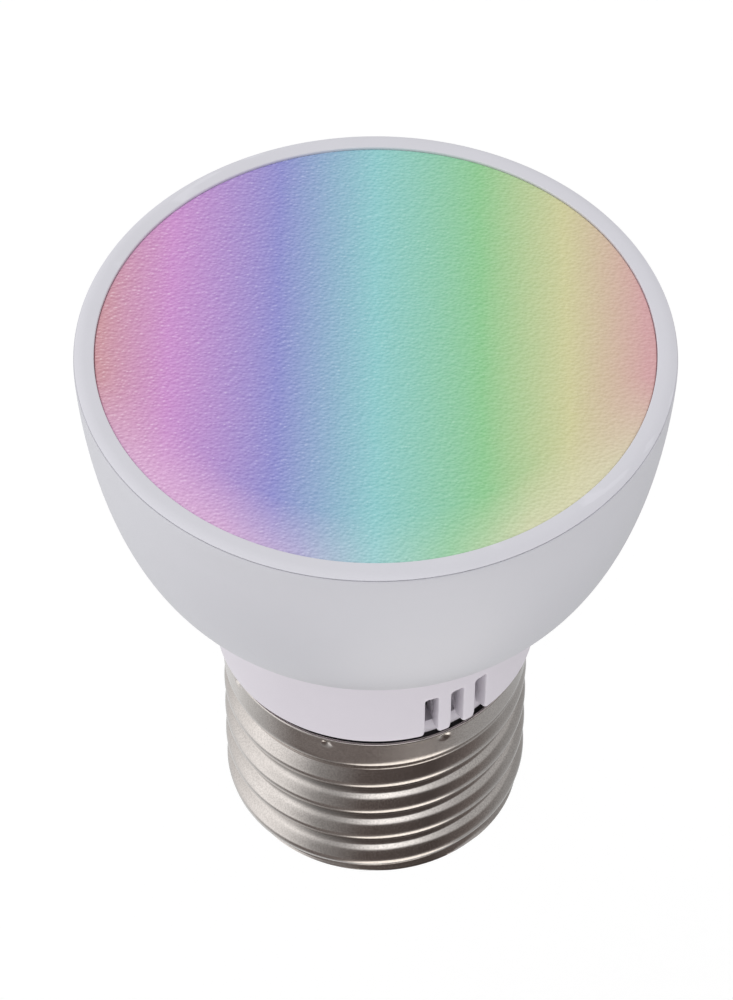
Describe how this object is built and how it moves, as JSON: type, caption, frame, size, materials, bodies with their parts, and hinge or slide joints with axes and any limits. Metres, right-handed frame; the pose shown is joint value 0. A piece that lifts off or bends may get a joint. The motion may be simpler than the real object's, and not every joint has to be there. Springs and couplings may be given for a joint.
{
  "type": "smart light bulb",
  "caption": "Flat-faced smart LED lamp: a shallow white bowl with a bezel and a colour-banded diffuser, a short vented neck and an E27 screw cap.",
  "frame": {"origin": "tip of the centre contact, on the lamp's axis, at the lowest point of the part", "axes": "+Z along the lamp's axis from the contact to the diffuser; -Y is the lamp's front, where the first vent slots lie to the right of the middle"},
  "size_m": [0.0491, 0.049, 0.0615],
  "materials": {
    "diffuser": "pebbled translucent",
    "bezel": "satin moulded",
    "bowl": "fine satin moulded",
    "neck": "satin moulded",
    "nickel": "rolled nickel-plated sheet",
    "black_glass": "fused glass",
    "contact_brass": "stamped",
    "white_plastic": "matt reflector",
    "sink": "drawn",
    "pad": "soft silicone",
    "light_laminate": "white solder resist",
    "rgb_chip": "resin window",
    "white_chip": "phosphor window",
    "screw_steel": "zinc plated",
    "cover_plastic": "insulating",
    "laminate": "green solder resist",
    "capacitor_sleeve": "shrunk sleeve",
    "film_box": "cast box",
    "ferrite": "sintered",
    "resistor_body": "coated",
    "package": "moulded epoxy",
    "chip_ceramic": "fired",
    "coil_tape": "wound tape",
    "radio_laminate": "blue solder resist",
    "shield_steel": "tinned sheet",
    "copper": "plated track",
    "header_plastic": "moulded",
    "pin_gold": "plated",
    "red_insulation": "soft",
    "bare_wire": "tinned strand"
  },
  "bodies": {
    "root": {"diffuser_lens": "diffuser", "bezel_ring": "bezel", "bowl_housing": "bowl", "neck_skirt": "neck", "screw_shell": "nickel", "cap_insulator": "black_glass", "centre_contact": "contact_brass", "reflector_ring": "white_plastic", "heat_sink_cup": "sink", "thermal_pad": "pad", "light_board": "light_laminate", "rgb_chips": "rgb_chip", "white_chips": "white_chip", "board_screws": "screw_steel", "driver_cover": "cover_plastic", "driver_board": "laminate", "bulk_capacitor": "capacitor_sleeve", "filter_capacitor": "capacitor_sleeve", "film_capacitor": "film_box", "drum_choke": "ferrite", "fusible_resistor": "resistor_body", "bridge_rectifier": "package", "driver_chip": "package", "chip_parts": "chip_ceramic", "transformer_core": "ferrite", "transformer_coil": "coil_tape", "radio_board": "radio_laminate", "radio_shield": "shield_steel", "radio_antenna": "copper", "radio_header": "header_plastic", "light_pins": "pin_gold", "light_pin_block": "header_plastic", "live_wire": "red_insulation", "neutral_wire": "bare_wire"}
  },
  "joints": []
}
